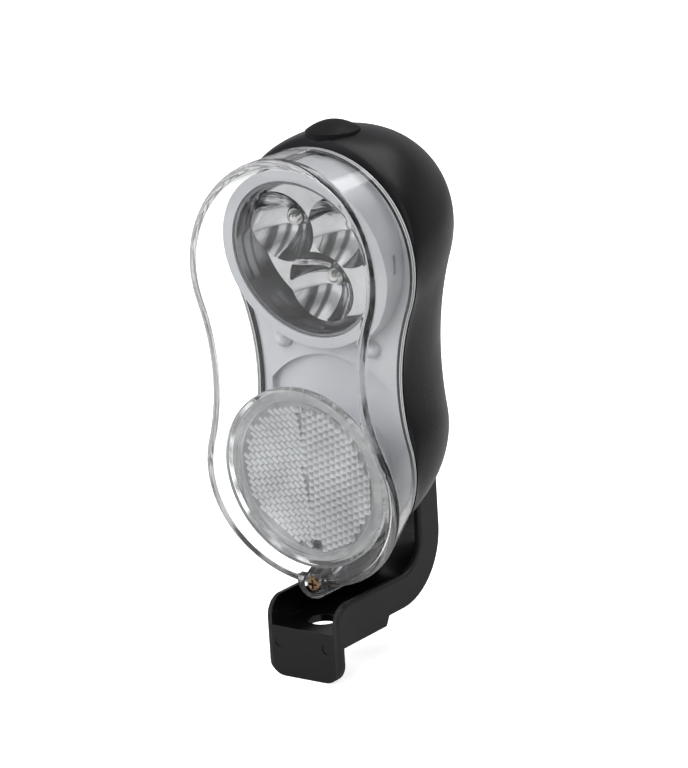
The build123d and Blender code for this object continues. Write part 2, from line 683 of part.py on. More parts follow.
def housing_loft(inset):
    """Domed body of the housing through peanut sections that shrink and lean towards the back."""
    front = housing_y
    lobe_gap = seam_up_z - seam_low_z
    lean_z = (seam_up_z + seam_low_z) / 2
    sections = []
    for share in DOME_STATION_SHARES:
        upper = share * (UPPER_DEPTH - inset - front)
        lower = share * (LOWER_DEPTH - inset - front)
        width = dome_share(share)
        outline = (
            (seam_up_radius - inset) * width,
            seam_up_z + UPPER_RISE * share**RISE_POWER,
            (seam_low_radius - inset) * width,
            seam_low_z + LOWER_RISE * share**RISE_POWER,
            seam_waist + WAIST_FILL * share + inset,
        )
        lean = -math.degrees(math.atan2(upper - lower, lobe_gap))
        sections.append(peanut_face(outline, 0, front + (upper + lower) / 2, lean, lean_z))
    return loft(sections)


def hinge_pocket(grow):
    """Space round the arm's ears at the back of the lamp, open downwards and backwards."""
    half = pocket_x + grow
    reach = HINGE_POCKET_REACH + grow
    front = lamp_pivot_y - reach
    low = -(seam_low_radius + 2 * OVERRUN)
    pocket = block(-half, half, front, UPPER_DEPTH + OVERRUN, low, lamp_pivot_z)
    pocket += block(-half, half, lamp_pivot_y, UPPER_DEPTH + OVERRUN, low, lamp_pivot_z + reach)
    return pocket + rod_x(reach, -half, half, lamp_pivot_y, lamp_pivot_z)


def make_rear_housing():
    """Black housing: domed shell, button guide, screw boss, and the hinge pocket with its lug."""
    outer = housing_loft(0)
    cavity = housing_loft(HOUSING_WALL) - hinge_pocket(HOUSING_WALL)
    body = outer - cavity - hinge_pocket(0)
    boss_end = housing_y + BOSS_LENGTH
    boss_radius = INSERT_RADIUS + BOSS_WALL
    boss = rod_y(boss_radius, housing_y, boss_end, 0, ear_z)
    boss += block(-boss_radius, boss_radius, housing_y, boss_end, ear_z, -seam_low_radius / 2)
    body += boss - cavity
    rebate_inset = PLATE_INSET - PLATE_REBATE_CLEAR
    body -= peanut_slab(seam_peanut, rebate_inset, housing_y, housing_y + PLATE_THICK)
    guide_radius = BUTTON_RADIUS + BUTTON_FLANGE + GUIDE_WALL
    guide = rod_z(guide_radius, guide_z, roof_z + OVERRUN, 0, BUTTON_Y)
    body += guide & outer
    lug_x = inner_x - LUG_SIDE_CLEAR
    lug = block(
        -lug_x, lug_x, lamp_pivot_y - HINGE_POCKET_REACH - HOUSING_WALL / 2, lamp_pivot_y,
        lamp_pivot_z - LUG_RADIUS, lamp_pivot_z + LUG_RADIUS,
    )
    body += lug + rod_x(LUG_RADIUS, -lug_x, lug_x, lamp_pivot_y, lamp_pivot_z)
    body -= rod_x(PIVOT_BOLT_RADIUS + HINGE_RUNNING, -side_x, side_x, lamp_pivot_y, lamp_pivot_z)
    body -= rod_z(BUTTON_RADIUS + BUTTON_RUNNING, guide_z - OVERRUN, roof_z + OVERRUN, 0, BUTTON_Y)
    relief = BUTTON_RADIUS + BUTTON_FLANGE + 2 * BUTTON_RUNNING
    body -= rod_z(relief, guide_z - OVERRUN, shoulder_z, 0, BUTTON_Y)
    body -= rod_y(INSERT_RADIUS + INSERT_FIT, housing_y - OVERRUN, housing_y + INSERT_LENGTH, 0, screw_z)
    hole_end = housing_y + SCREW_REACH + SCREW_CLEAR
    body -= rod_y(SCREW_RADIUS + SCREW_CLEAR, housing_y, hole_end, 0, screw_z)
    return body


def make_cap_screw():
    """Cross-head screw through the cap's ear."""
    tip = housing_y + SCREW_REACH
    screw = rod_y(SCREW_RADIUS, SCREW_SEAT, tip, 0, screw_z)
    head_front = SCREW_SEAT - SCREW_HEAD_HEIGHT
    head = rod_y(SCREW_HEAD_RADIUS, head_front, SCREW_SEAT, 0, screw_z)
    head = fillet(head.edges().sort_by(Axis.Y)[0], SCREW_HEAD_ROUND)
    screw += head
    cross_back = head_front + SCREW_CROSS_DEPTH
    arm = SCREW_CROSS_REACH
    half = SCREW_CROSS_WIDTH / 2
    screw -= block(-arm, arm, head_front - OVERRUN, cross_back, screw_z - half, screw_z + half)
    screw -= block(-half, half, head_front - OVERRUN, cross_back, screw_z - arm, screw_z + arm)
    return screw


def make_screw_insert():
    """Brass insert in the housing's boss."""
    insert = rod_y(INSERT_RADIUS, housing_y, housing_y + INSERT_LENGTH, 0, screw_z)
    bore = SCREW_RADIUS + INSERT_FIT
    return insert - rod_y(bore, housing_y - OVERRUN, housing_y + 2 * INSERT_LENGTH, 0, screw_z)


def make_push_button():
    """Rubber button: low dome, guided body, retaining flange and a stem down to the switch."""
    crown_z = roof_z + BUTTON_PROUD
    body = rod_z(BUTTON_RADIUS, flange_base, crown_z, 0, BUTTON_Y)
    flange_radius = BUTTON_RADIUS + BUTTON_FLANGE
    flange = rod_z(flange_radius, flange_base, flange_top, 0, BUTTON_Y)
    front = housing_y + BUTTON_FRONT_GAP
    body += flange - block(-flange_radius, flange_radius, 0, front, 0, roof_z)
    body += rod_z(STEM_RADIUS, switch_top_z + PLUNGER_PROUD, flange_base, 0, BUTTON_Y)
    edge = Vector(BUTTON_RADIUS, 0, 0)
    top = Vector(0, 0, BUTTON_DOME)
    centre = Vector(0, 0, 0)
    curve = Bezier(edge, Vector(BUTTON_RADIUS / 2, 0, BUTTON_DOME), top)
    profile = Face(Wire([curve, Line(top, centre), Line(centre, edge)]))
    return body + Pos(0, BUTTON_Y, crown_z) * revolve(profile, axis=Axis.Z)


def make_switch():
    """Tact switch body with a well for its plunger, the plunger, and the small board below."""
    half = SWITCH_SIDE / 2
    body = block(-half, half, BUTTON_Y - half, BUTTON_Y + half, switch_base_z, switch_top_z)
    body = fillet(body.edges().filter_by(Axis.Z), SWITCH_CORNER)
    well = switch_top_z - PLUNGER_SINK - BUTTON_TRAVEL - PLUNGER_RUNNING
    body -= rod_z(PLUNGER_RADIUS + PLUNGER_RUNNING, well, switch_top_z + OVERRUN, 0, BUTTON_Y)
    plunger_top = switch_top_z + PLUNGER_PROUD
    plunger = rod_z(PLUNGER_RADIUS, switch_top_z - PLUNGER_SINK, plunger_top, 0, BUTTON_Y)
    wide = SWITCH_BOARD_WIDTH / 2
    board = block(
        -wide, wide, BUTTON_Y - half - SWITCH_BOARD_FRONT, CELL_Y,
        tray_top, switch_base_z,
    )
    return body, plunger, board


def cell_x(index):
    """Place of a cell across the tray."""
    return (index - (CELL_COUNT - 1) / 2) * CELL_PITCH


def cell_y(index):
    """Depth of a cell: the middle one is set back behind the LED board."""
    return CELL_Y + CELL_SET_BACK * (index % 2)


def make_cell(index):
    """AAA cell with rounded ends and its contact nub."""
    can = rod_z(CELL_RADIUS, 0, CELL_LENGTH, 0, 0)
    can = fillet(can.edges().filter_by(GeomType.CIRCLE), CELL_EDGE)
    can += rod_z(CELL_NUB_RADIUS, CELL_LENGTH, CELL_LENGTH + CELL_NUB, 0, 0)
    return Pos(cell_x(index), cell_y(index), cell_floor) * can


def make_battery_tray():
    """Tray with a trough for each cell and an end wall behind each contact plate, open to the back."""
    groove = CELL_RADIUS + TRAY_CELL_CLEAR
    half = cell_x(CELL_COUNT - 1) + groove + TRAY_SIDE
    lip = CELL_Y - TRAY_LIP
    front = CELL_Y - groove - TRAY_FRONT
    tray = block(-half, half, front, lip, tray_bottom, tray_top)
    middle = cell_x(CELL_COUNT - 1) - groove
    tray -= block(-middle, middle, 0, front + CELL_SET_BACK, 0, tray_top)
    end_half = cell_x(CELL_COUNT - 1) + TRAY_END_REACH
    tray += block(-end_half, end_half, front + CELL_SET_BACK, CELL_Y + TRAY_END_REST, tray_bottom, tray_top)
    low = tray_bottom + TRAY_END
    high = tray_top - TRAY_END
    for index in range(CELL_COUNT):
        tray -= rod_z(groove, low, high, cell_x(index), cell_y(index))
    return tray - block(-half, half, lip, UPPER_DEPTH, low, high)


def contact_plate(z_low, z_high):
    """Plate that joins the cells' ends, shaped to the troughs."""
    lip = CELL_Y - TRAY_LIP
    reach = cell_x(CELL_COUNT - 1)
    plate = block(-reach, reach, lip, CELL_Y + TRAY_END_REST, z_low, z_high)
    for index in range(CELL_COUNT):
        radius = CELL_RADIUS - CONTACT_MARGIN
        lobe = rod_z(radius, z_low, z_high, cell_x(index), cell_y(index))
        plate += lobe - block(-2 * reach, 2 * reach, CELL_Y + TRAY_END_REST, UPPER_DEPTH, 0, tray_top)
    return plate


def make_contacts():
    """Contact plates at the two ends of the tray, and a coned spring under each cell."""
    low = tray_bottom + TRAY_END
    high = tray_top - TRAY_END
    lower = contact_plate(low, low + CONTACT_THICK)
    upper = contact_plate(high - CONTACT_THICK, high)
    springs = []
    for index in range(CELL_COUNT):
        cone = Cone(SPRING_BASE_RADIUS, SPRING_TIP_RADIUS, SPRING_HEIGHT)
        centre_z = low + CONTACT_THICK + SPRING_HEIGHT / 2
        springs.append(Pos(cell_x(index), cell_y(index), centre_z) * cone)
    return lower, upper, springs


nodes["bracket"] = cut_flap_corners(make_bracket())
nodes["pivot_bolt"], nodes["pivot_nut"], nodes["pivot_washers"] = make_pivot_pieces()
nodes["front_cap"] = in_lamp(make_front_cap())
nodes["bezel_plate"] = in_lamp(make_bezel_plate())
nodes["retro_reflector"] = in_lamp(make_retro_reflector())
nodes["retro_backing"] = in_lamp(make_retro_backing())
nodes["seal_gasket"] = in_lamp(make_gasket())
nodes["led_reflector"] = in_lamp(make_led_reflector())
for name, (led_x, led_z) in zip(("led_lower", "led_right", "led_left"), cup_centres()):
    nodes[name] = in_lamp(make_led(led_x, led_z))
nodes["led_board"] = in_lamp(make_led_board())
nodes["rear_housing"] = in_lamp(make_rear_housing())
nodes["cap_screw"] = in_lamp(make_cap_screw())
nodes["screw_insert"] = in_lamp(make_screw_insert())
nodes["push_button"] = in_lamp(make_push_button())
switch_body, switch_plunger, switch_board = make_switch()
nodes["switch_body"] = in_lamp(switch_body)
nodes["switch_plunger"] = in_lamp(switch_plunger)
nodes["switch_board"] = in_lamp(switch_board)
nodes["battery_tray"] = in_lamp(make_battery_tray())
contact_lower, contact_upper, contact_springs = make_contacts()
nodes["contact_plate_lower"] = in_lamp(contact_lower)
nodes["contact_plate_upper"] = in_lamp(contact_upper)
for index, side_name in enumerate(("left", "middle", "right")):
    nodes["battery_" + side_name] = in_lamp(make_cell(index))
    nodes["contact_spring_" + side_name] = in_lamp(contact_springs[index])

for name, shape in nodes.items():
    export_step(shape, "parts/" + name + ".step")
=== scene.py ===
import json
import math

import bmesh
import bpy
from mathutils import Matrix, Vector

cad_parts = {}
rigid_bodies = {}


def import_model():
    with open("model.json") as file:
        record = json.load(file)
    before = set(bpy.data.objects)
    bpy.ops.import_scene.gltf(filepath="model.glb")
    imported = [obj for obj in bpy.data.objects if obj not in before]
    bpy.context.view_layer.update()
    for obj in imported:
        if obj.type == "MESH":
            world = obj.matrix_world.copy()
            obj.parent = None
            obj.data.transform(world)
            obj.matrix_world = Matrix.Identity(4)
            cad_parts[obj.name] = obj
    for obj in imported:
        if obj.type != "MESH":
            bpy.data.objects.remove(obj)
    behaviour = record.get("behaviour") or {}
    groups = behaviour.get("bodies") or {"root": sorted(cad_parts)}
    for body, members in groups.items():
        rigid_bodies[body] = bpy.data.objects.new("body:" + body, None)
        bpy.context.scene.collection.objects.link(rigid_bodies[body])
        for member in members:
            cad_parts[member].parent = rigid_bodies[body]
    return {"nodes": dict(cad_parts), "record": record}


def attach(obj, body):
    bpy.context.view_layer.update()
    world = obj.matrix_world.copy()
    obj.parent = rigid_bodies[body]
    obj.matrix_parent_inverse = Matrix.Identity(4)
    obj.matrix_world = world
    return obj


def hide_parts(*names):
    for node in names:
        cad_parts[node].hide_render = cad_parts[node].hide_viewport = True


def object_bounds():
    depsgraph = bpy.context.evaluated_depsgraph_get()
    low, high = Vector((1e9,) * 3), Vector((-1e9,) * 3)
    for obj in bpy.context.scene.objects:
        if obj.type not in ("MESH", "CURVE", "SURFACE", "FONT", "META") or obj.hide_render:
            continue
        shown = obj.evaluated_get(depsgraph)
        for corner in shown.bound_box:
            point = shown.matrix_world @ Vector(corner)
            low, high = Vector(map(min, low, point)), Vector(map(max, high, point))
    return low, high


for leftover in list(bpy.data.objects):
    bpy.data.objects.remove(leftover)

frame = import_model()
cad_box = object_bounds()
nodes = frame["nodes"]
MM = 0.001

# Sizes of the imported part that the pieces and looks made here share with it, in millimetres.
# The lamp's own depths count from LAMP_FRONT ahead of the frame's origin, its heights from LAMP_Z above it.
LAMP_FRONT = 8.5
LAMP_Z = 32.7
SCREW_Z = -22.3
HOOD_Z = 48.4
BARREL_RADIUS = 16.0
CHANNEL_INSIDE = 8.05
RETRO_RADIUS = 20.3
RETRO_Y = 5.4
RETRO_Z = 1.6
RETRO_TILT = math.radians(5.7)
RETRO_THICK = 1.8
RETRO_RIM = 1.6
RETRO_RIM_PROUD = 0.3
# The seam's outline: the upper lobe's radius and height, the lower lobe's, and the waist's radius
SEAM = (24.3, 46.9, 21.6, 2.6, 47.0)
SEAM_Y = 15.6

# Matt joint faces inside the clear cap's rear end, the middle one grey with painted shade: name, insets of
# both sides from the seam, and look
JOINT_BANDS = (
    ("joint_face_outer", 0.06, 0.55, "frosted_pale"),
    ("joint_face_middle", 0.60, 1.15, "frosted_painted_shade"),
    ("joint_face_inner", 1.20, 1.72, "frosted_pale"),
)
BAND_NEAR = 0.02
BAND_FAR = 0.06
LOBE_STEPS = 24
FROST_PALE = 0.82
# Painted shade: the grey of the middle joint band
FROST_SHADE = 0.30

# Roundings and steps of the reflector disc's clear front
STEP_WIDTH = 1.1
STEP_DEPTH = 0.3
STEP_ROUND = 0.12
RIM_FOOT_ROUND = 0.1
RIM_ROUND = 0.27
DISC_BACK_ROUND = 0.3
WINDOW_BACK = 1.02
WINDOW_FLARE = 0.15
DISC_STEPS = 160

# Prism field behind the disc's window
FIELD_RADIUS = 17.2
FIELD_FRONT = 1.1
FIELD_DEEP = 0.64
FIELD_SEAL = 0.02
FIELD_STEPS = 96
CORNER_CELL = 0.95
CORNER_ALONG = 84.0
CORNER_CLEAR_SHARE = 0.1
ROW_LENGTH = 2.0
ROW_WIDTH = 1.15
ROW_ALONG = -36.0
ROW_CLEAR_SHARE = 0.12
ROW_REACH_SHARE = 0.6
ROW_DEEP_SHARE = 0.8
# A hipped prism's four foot corners and its ridge's two ends: shares of its length, width and depth
HIPPED_SHARES = (
    (-0.5, -0.5, 1), (0.5, -0.5, 1), (0.5, 0.5, 1), (-0.5, 0.5, 1),
    (-0.4, 0.0, 0), (0.4, 0.0, 0),
)
HIPPED_FACES = ((0, 1, 5, 4), (1, 2, 5), (2, 3, 4, 5), (3, 0, 4))
# Depths behind the disc's face where the facets' painted highlight at the ridges is full and where their
# painted shade in the valleys is full
RIDGE_HIGHLIGHT_DEPTH = 1.15
VALLEY_SHADE_DEPTH = 1.7

# Gate mark near the disc's foot: its middle, and its outline as radius and depth
GATE_X = 0.9
GATE_RISE = -15.2
GATE_OUTLINE = ((0, 0.45), (0.75, 0.45), (0.95, 0.6), (1.05, 0.98), (0, 0.98))
GATE_STEPS = 32

# Thread on the cap screw's shank
THREAD_PITCH = 0.5
THREAD_CORE = 1.0
THREAD_CREST = 1.2
THREAD_START = 7.1
THREAD_END = 15.5
THREAD_FOOT = 0.2
THREAD_TIP = 0.03
THREAD_STEPS = 20

# Parts of a noise's range over which a tone or a gloss changes
PATCHY = (0.35, 0.7)
NARROW = (0.35, 0.65)
WIDE = (0.3, 0.7)

# Clear plastic: its clean tone, the ray depth past which a caught ray goes straight on, and the blue of the
# painted shade that such a ray gets
CLEAN = (0.95, 0.955, 0.955)
CAUGHT_DEPTH = 4.5
CAUGHT_BLUE = 1.03

# The photograph's camera: lens and frame in pixels, places in millimetres, angles in degrees
CAMERA_BACK = (0.5694, -0.7751, 0.2740)
CAMERA_TURN = 36.3
CAMERA_ROLL = -3.5
CAMERA_TARGET = (15.57, -8.5, 58.3)
CAMERA_DISTANCE = 853.3
CAMERA_FOCAL_PX = 4120
PHOTO_HEIGHT_PX = 768
SENSOR_MM = 36.0

# Studio: greys round the horizon and by height, as (place along the ramp, grey); the floor in metres
PANELS = (
    (0.0, 0.45), (0.03, 0.80), (0.20, 0.85), (0.235, 0.10), (0.265, 0.10), (0.285, 0.60), (0.325, 0.60),
    (0.34, 0.05), (0.375, 0.05), (0.40, 0.65), (0.52, 0.60), (0.56, 0.12), (0.60, 0.12), (0.64, 0.40),
    (0.80, 0.50), (0.97, 0.50),
)
HEIGHTS = ((0.0, 0.6), (0.5, 0.8), (0.62, 0.9), (0.70, 0.5), (0.82, 0.35), (0.9, 0.9), (1.0, 1.0))
PANEL_BLUE = 1.01
BACKDROP_STRENGTH = 1.05
STRAIGHT_BOUNCES = 0.5
FLOOR_REACH = 3.0
FLOOR_DROP = 0.0001

# Soft lights: name, place and sides in metres, watts, and whether mirrors and clear pieces show it
LIGHT_AIM = (0.0, 0.0, 0.05)
LIGHTS = (
    ("key", (-0.35, -0.75, 0.75), 1.3, 1.3, 21, False),
    ("top", (0.15, 0.35, 0.95), 0.8, 1.0, 4, True),
    ("right_fill", (1.0, 0.05, 0.35), 0.35, 0.9, 1, True),
)


class Shader:
    """A material's node tree, with one call for each kind of node that is used here."""

    def __init__(self, name):
        self.mat = bpy.data.materials.new(name)
        self.mat.use_nodes = True
        self.tree = self.mat.node_tree
        self.tree.nodes.clear()
        self.out = self.tree.nodes.new("ShaderNodeOutputMaterial")
        self.coord = self.tree.nodes.new("ShaderNodeTexCoord")

    def link(self, a, b):
        self.tree.links.new(a, b)

    def node(self, kind, **values):
        made = self.tree.nodes.new(kind)
        for key, value in values.items():
            setattr(made, key, value)
        return made

    def noise(self, per_metre, detail=2.0, rough=0.5, stretch=None):
        made = self.node("ShaderNodeTexNoise")
        made.inputs["Scale"].default_value = per_metre
        made.inputs["Detail"].default_value = detail
        made.inputs["Roughness"].default_value = rough
        place = self.coord.outputs["Object"]
        if stretch:
            scale = self.node("ShaderNodeMapping")
            scale.inputs["Scale"].default_value = stretch
            self.link(place, scale.inputs["Vector"])
            place = scale.outputs["Vector"]
        self.link(place, made.inputs["Vector"])
        return made.outputs["Fac"]

    def cells(self, per_metre):
        made = self.node("ShaderNodeTexVoronoi", feature="F1")
        made.inputs["Scale"].default_value = per_metre
        self.link(self.coord.outputs["Object"], made.inputs["Vector"])
        return made.outputs["Distance"]

    def span(self, value, low, high, to_low=0.0, to_high=1.0):
        """A value between low and high, turned into one between to_low and to_high."""
        made = self.node("ShaderNodeMapRange", clamp=True)
        self.link(value, made.inputs["Value"])
        made.inputs["From Min"].default_value = low
        made.inputs["From Max"].default_value = high
        made.inputs["To Min"].default_value = to_low
        made.inputs["To Max"].default_value = to_high
        return made.outputs["Result"]

    def math(self, operation, a, b=None):
        made = self.node("ShaderNodeMath", operation=operation)
        for index, value in enumerate((a, b)):
            if value is None:
                continue
            if isinstance(value, (int, float)):
                made.inputs[index].default_value = value
            else:
                self.link(value, made.inputs[index])
        return made.outputs["Value"]

    def mix(self, share, first, second):
        made = self.node("ShaderNodeMix", data_type="RGBA")
        if isinstance(share, (int, float)):
            made.inputs["Factor"].default_value = share
        else:
            self.link(share, made.inputs["Factor"])
        for name, value in (("A", first), ("B", second)):
            socket = [s for s in made.inputs if s.name == name and s.type == "RGBA"][0]
            if isinstance(value, (tuple, list)):
                socket.default_value = (*value, 1.0)
            else:
                self.link(value, socket)
        return [s for s in made.outputs if s.type == "RGBA"][0]

    def blend(self, value, first, second, reach=PATCHY):
        """The first tone where a noise is low and the second where it is high."""
        return self.mix(self.span(value, *reach), first, second)

    def mix_shaders(self, share, first, second):
        made = self.node("ShaderNodeMixShader")
        self.link(share, made.inputs["Fac"])
        self.link(first, made.inputs[1])
        self.link(second, made.inputs[2])
        return made.outputs["Shader"]

    def bump(self, height, depth_mm, strength=1.0, below=None):
        made = self.node("ShaderNodeBump")
        made.inputs["Strength"].default_value = strength
        made.inputs["Distance"].default_value = depth_mm * MM
        self.link(height, made.inputs["Height"])
        if below is not None:
            self.link(below, made.inputs["Normal"])
        return made.outputs["Normal"]

    def edge(self, radius_mm, low=0.02, high=0.25):
        """1 on worn outer edges, 0 on open faces."""
        bevel = self.node("ShaderNodeBevel", samples=4)
        bevel.inputs["Radius"].default_value = radius_mm * MM
        geometry = self.node("ShaderNodeNewGeometry")
        dot = self.node("ShaderNodeVectorMath", operation="DOT_PRODUCT")
        self.link(bevel.outputs["Normal"], dot.inputs[0])
        self.link(geometry.outputs["Normal"], dot.inputs[1])
        return self.span(self.math("SUBTRACT", 1.0, dot.outputs["Value"]), low, high)

    def axis(self, which):
        """Place along an axis of the object's frame, in metres."""
        made = self.node("ShaderNodeSeparateXYZ")
        self.link(self.coord.outputs["Object"], made.inputs["Vector"])
        return made.outputs[which]

    def principled(self, colour, rough, normal=None, **values):
        made = self.node("ShaderNodeBsdfPrincipled")
        for key, value in (("Base Color", colour), ("Roughness", rough), ("Normal", normal)):
            if value is None:
                continue
            if isinstance(value, (int, float)):
                made.inputs[key].default_value = value
            elif isinstance(value, (tuple, list)):
                made.inputs[key].default_value = (*value, 1.0)
            else:
                self.link(value, made.inputs[key])
        for key, value in values.items():
            made.inputs[key.replace("_", " ")].default_value = value
        return made.outputs["BSDF"]

    def finish(self, shader):
        self.link(shader, self.out.inputs["Surface"])
        return self.mat


def times(tone, factor):
    """A colour made lighter or darker."""
    return tuple(channel * factor for channel in tone)


def moulded_black(name, tone, gloss, grain_mm, edge_tone):
    """Black moulded plastic: spark-textured skin, uneven gloss and paler rubbed edges."""
    s = Shader(name)
    broad = s.noise(90, detail=3.0)
    grain = s.noise(1000 / grain_mm, rough=0.6)
    pits = s.cells(700 / grain_mm)
    colour = s.blend(broad, tone, times(tone, 1.35), NARROW)
    wear = s.math("MULTIPLY", s.edge(0.35), s.span(s.noise(500, detail=3.0), 0.45, 0.62))
    colour = s.mix(wear, colour, edge_tone)
    uneven = s.math("ADD", broad, s.math("MULTIPLY", grain, 0.5))
    rough = s.span(uneven, 0.55, 0.95, *gloss)
    skin = s.bump(grain, depth_mm=0.012, strength=0.55)
    skin = s.bump(pits, depth_mm=0.006, strength=0.35, below=skin)
    return s.finish(s.principled(colour, rough, skin, IOR=1.45, Specular_IOR_Level=0.32))


def bracket_black():
    """The bracket's plastic: satin outside, polished inside the channel, with painted shade darkening it
    there.
    """
    s = Shader("bracket_black")
    broad = s.noise(70, detail=3.0)
    grain = s.noise(3600, rough=0.6)
    across = s.math("ABSOLUTE", s.axis("X"))
    outside = s.span(across, CHANNEL_INSIDE * MM, (CHANNEL_INSIDE + 0.35) * MM)
    colour = s.blend(broad, (0.0075, 0.0075, 0.0085), (0.011, 0.0105, 0.012), NARROW)
    # Painted shade: near black inside the channel
    colour = s.mix(outside, (0.0015, 0.0015, 0.0018), colour)
    wear = s.math("MULTIPLY", s.edge(0.3), s.span(s.noise(450, detail=3.0), 0.48, 0.62, 0.0, 0.7))
    colour = s.mix(wear, colour, (0.05, 0.05, 0.054))
    satin = s.math("MULTIPLY", outside, s.span(grain, *WIDE, 0.34, 0.46))
    polish = s.math("MULTIPLY", s.math("SUBTRACT", 1.0, outside), s.span(broad, *WIDE, 0.13, 0.22))
    rough = s.math("ADD", satin, polish)
    skin = s.bump(grain, depth_mm=0.010, strength=0.5)
    return s.finish(s.principled(colour, rough, skin, IOR=1.5, Specular_IOR_Level=0.42))


def clear_plastic(name, tint, haze_open, haze_rim, dim):
    """Clear plastic with faint hairlines and some haze; lamps shine through it onto what it covers.

    A ray caught inside it goes straight on in the end, dimmed in streaks of painted shade.
    """
    s = Shader(name)
    streak = s.noise(420, detail=4.0, rough=0.6, stretch=(1.0, 6.0, 1.0))
    rough = s.span(streak, 0.62, 0.8, 0.0, 0.06)
    skin = s.bump(s.noise(60, detail=1.0), depth_mm=0.02, strength=0.12)
    glass = s.principled(tint, rough, skin, IOR=1.49, Transmission_Weight=1.0)
    haze = s.node("ShaderNodeBsdfTranslucent")
    haze.inputs["Color"].default_value = (0.86, 0.86, 0.87, 1.0)
    rim = s.node("ShaderNodeLayerWeight")
    rim.inputs["Blend"].default_value = 0.35
    hazing = s.span(rim.outputs["Facing"], 0.35, 1.0, haze_open, haze_rim)
    hazed = s.mix_shaders(hazing, glass, haze.outputs["BSDF"])
    path = s.node("ShaderNodeLightPath")
    shadow = path.outputs["Is Shadow Ray"]
    # Painted shade: a caught ray comes out dimmed, in noise streaks
    caught_streak_shade = s.blend(s.noise(150), (dim, dim, dim * CAUGHT_BLUE), CLEAN, (0.42, 0.6))
    clear = s.node("ShaderNodeBsdfTransparent")
    s.link(s.mix(shadow, caught_streak_shade, CLEAN), clear.inputs["Color"])
    caught = s.math("GREATER_THAN", path.outputs["Ray Depth"], CAUGHT_DEPTH)
    straight = s.math("MAXIMUM", shadow, caught)
    return s.finish(s.mix_shaders(straight, hazed, clear.outputs["BSDF"]))


def silver_paint():
    """Silver lacquer with a fine metal flake."""
    s = Shader("silver_lacquer")
    flake = s.cells(9000)
    broad = s.noise(80, detail=3.0)
    colour = s.blend(flake, (0.76, 0.77, 0.80), (0.66, 0.67, 0.70), (0.1, 0.6))
    colour = s.mix(s.span(broad, 0.4, 0.7, 0.0, 0.25), colour, (0.80, 0.81, 0.84))
    rough = s.span(s.math("ADD", flake, broad), 0.5, 1.1, 0.28, 0.40)
    skin = s.bump(s.noise(2500), depth_mm=0.006, strength=0.35)
    return s.finish(s.principled(colour, rough, skin, Metallic=0.35, Coat_Weight=0.2, Coat_Roughness=0.15))


def chrome_plate():
    """Vacuum-plated chrome with a slight orange peel, with painted shade darkening it in the barrel round the
    cups.
    """
    s = Shader("chrome_plating")
    colour = s.blend(s.noise(150), (0.90, 0.905, 0.92), (0.82, 0.82, 0.83))
    # Painted shade: darker beyond the barrel's radius from the hood's axis
    across = s.math("POWER", s.axis("X"), 2.0)
    upward = s.math("POWER", s.math("SUBTRACT", s.axis("Z"), (LAMP_Z + HOOD_Z) * MM), 2.0)
    away = s.math("SQRT", s.math("ADD", across, upward))
    barrel_shade = s.span(away, BARREL_RADIUS * MM, (BARREL_RADIUS + 0.4) * MM)
    colour = s.mix(barrel_shade, colour, (0.30, 0.30, 0.315))
    rough = s.span(s.noise(900, detail=3.0), 0.4, 0.75, 0.025, 0.085)
    skin = s.bump(s.noise(420), depth_mm=0.01, strength=0.25)
    return s.finish(s.principled(colour, rough, skin, Metallic=1.0))


def prism_silver():
    """The prism field's facets, with a painted highlight at their ridges and painted shade darkening them
    down to their valleys.
    """
    s = Shader("prism_facets")
    valley_shade = s.blend(s.noise(260), (0.66, 0.665, 0.67), (0.50, 0.505, 0.515))
    # Painted shade: the valleys' tone, darkened a fifth of the way to near black
    valley_shade = s.mix(0.2, valley_shade, (0.10, 0.10, 0.105))
    behind = s.math("ADD", s.axis("Y"), (LAMP_FRONT - RETRO_Y) * MM)
    above = s.math("SUBTRACT", s.axis("Z"), (LAMP_Z + RETRO_Z) * MM)
    depth = s.math(
        "ADD",
        s.math("MULTIPLY", behind, math.cos(RETRO_TILT)),
        s.math("MULTIPLY", above, math.sin(RETRO_TILT)),
    )
    # Painted highlight: pale near the face, going over to the valleys' painted shade with depth
    ridge_highlight = s.span(depth, RIDGE_HIGHLIGHT_DEPTH * MM, VALLEY_SHADE_DEPTH * MM, 1.0, 0.0)
    colour = s.mix(ridge_highlight, valley_shade, (0.98, 0.985, 0.99))
    fine = s.noise(1500)
    rough = s.span(fine, *WIDE, 0.10, 0.22)
    skin = s.bump(fine, depth_mm=0.005, strength=0.2)
    return s.finish(s.principled(colour, rough, skin, Metallic=0.12, Coat_Weight=0.4, Coat_Roughness=0.05))


def rubber(name, tone, grain_mm):
    """Black rubber with a fine dull grain."""
    s = Shader(name)
    grain = s.noise(1000 / grain_mm, detail=3.0)
    colour = s.blend(grain, tone, times(tone, 1.6))
    rough = s.span(s.noise(300, detail=3.0), *PATCHY, 0.5, 0.66)
    skin = s.bump(grain, depth_mm=0.014, strength=0.5)
    return s.finish(s.principled(colour, rough, skin, IOR=1.5, Specular_IOR_Level=0.2))


def brass_plating():
    """Brass plating, browned in patches."""
    s = Shader("brass_plating")
    colour = s.blend(s.noise(700, detail=3.0), (0.42, 0.29, 0.18), (0.16, 0.10, 0.06))
    rough = s.span(s.noise(2600, detail=3.0), *PATCHY, 0.16, 0.34)
    skin = s.bump(s.noise(5000), depth_mm=0.006, strength=0.4)
    return s.finish(s.principled(colour, rough, skin, Metallic=1.0))


def steel(name, tone):
    """Steel brushed along X."""
    s = Shader(name)
    brush = s.noise(900, detail=3.0, rough=0.6, stretch=(0.15, 6.0, 6.0))
    colour = s.blend(brush, tone, times(tone, 0.7))
    rough = s.span(brush, *PATCHY, 0.24, 0.42)
    skin = s.bump(brush, depth_mm=0.006, strength=0.4)
    return s.finish(s.principled(colour, rough, skin, Metallic=1.0))


